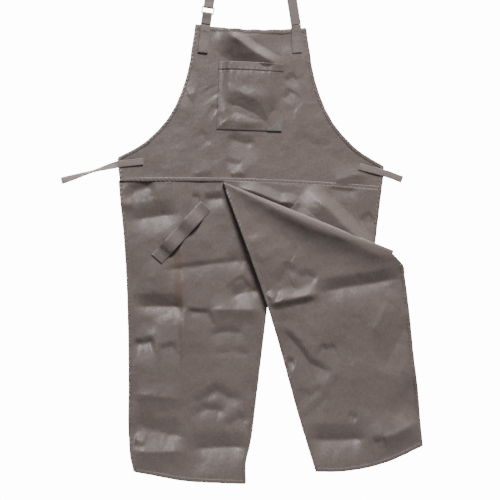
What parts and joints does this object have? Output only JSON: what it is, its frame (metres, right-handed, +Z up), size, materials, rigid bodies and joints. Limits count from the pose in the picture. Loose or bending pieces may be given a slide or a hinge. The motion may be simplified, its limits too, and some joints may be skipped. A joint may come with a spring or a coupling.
{
  "type": "split-leg apron",
  "caption": "Hanging bib work apron of satin-weave cloth, split into two overlapping leg panels, with neck loop, chest pocket, waist ties and diagonal tool loops.",
  "frame": {"origin": "inner face of the neck strap at the top of its arch, middle of the strap's width", "axes": "+Z up, +X to the right of someone facing the apron's front, the front faces -Y"},
  "size_m": [0.9054, 0.0437, 1.4232],
  "materials": {
    "twill": "satin-weave work cloth, taupe, soft sheen, creased",
    "webbing": "ribbed 25 mm webbing, greige",
    "tape": "20 mm twill tape",
    "patch": "grey-green cloth patch",
    "thread": "matching sewing thread",
    "ring": "glossy white moulded ring",
    "slider": "glossy white moulded slider"
  },
  "bodies": {
    "neck": {"neck_strap": "webbing", "strap_ring": "ring", "ring_loop": "webbing"},
    "slider": {"strap_slider": "slider"},
    "bib": {"bib_panel": "twill", "waist_seam_band": "twill", "waist_seam_stitching": "thread", "left_strap_tab": "webbing", "right_strap_tab": "webbing", "strap_tab_stitching": "thread", "chest_pocket": "twill", "pocket_stitching": "thread", "pocket_corner_patch": "patch", "patch_stitching": "thread", "left_tie_tab": "tape", "right_tie_tab": "tape", "tie_tab_stitching": "thread", "left_tie_roll": "tape", "right_tie_roll": "tape"},
    "left_tie": {"left_waist_tie": "tape"},
    "right_tie": {"right_waist_tie": "tape"},
    "left_leg": {"left_leg_panel": "twill", "left_leg_loop": "twill", "left_loop_stitching": "thread"},
    "right_leg": {"right_leg_panel": "twill", "right_leg_loop": "twill", "right_loop_stitching": "thread"}
  },
  "joints": [
    {"name": "bib_swing", "type": "hinge", "parent": "neck", "child": "bib", "pos_m": [0, 0, -0.277], "axis": [1, 0, 0], "range_deg": [-60, 60]},
    {"name": "slider_travel", "type": "slide", "parent": "neck", "child": "slider", "axis": [0.1564, 0, 0.9877], "range_m": [-0.016, 0.034]},
    {"name": "left_tie_swing", "type": "hinge", "parent": "bib", "child": "left_tie", "pos_m": [-0.333, 0, -0.62536], "axis": [0, 0, 1], "range_deg": [-90, 0]},
    {"name": "right_tie_swing", "type": "hinge", "parent": "bib", "child": "right_tie", "pos_m": [0.333, 0, -0.6472], "axis": [0, 0, 1], "range_deg": [0, 90]},
    {"name": "left_leg_swing", "type": "hinge", "parent": "bib", "child": "left_leg", "pos_m": [-0.072, 0.0024, -0.67066], "axis": [1, 0, 0], "range_deg": [0, 60]},
    {"name": "right_leg_swing", "type": "hinge", "parent": "bib", "child": "right_leg", "pos_m": [-0.072, 0, -0.67066], "axis": [0.9985, 0, -0.0544], "range_deg": [-80, 0]}
  ]
}
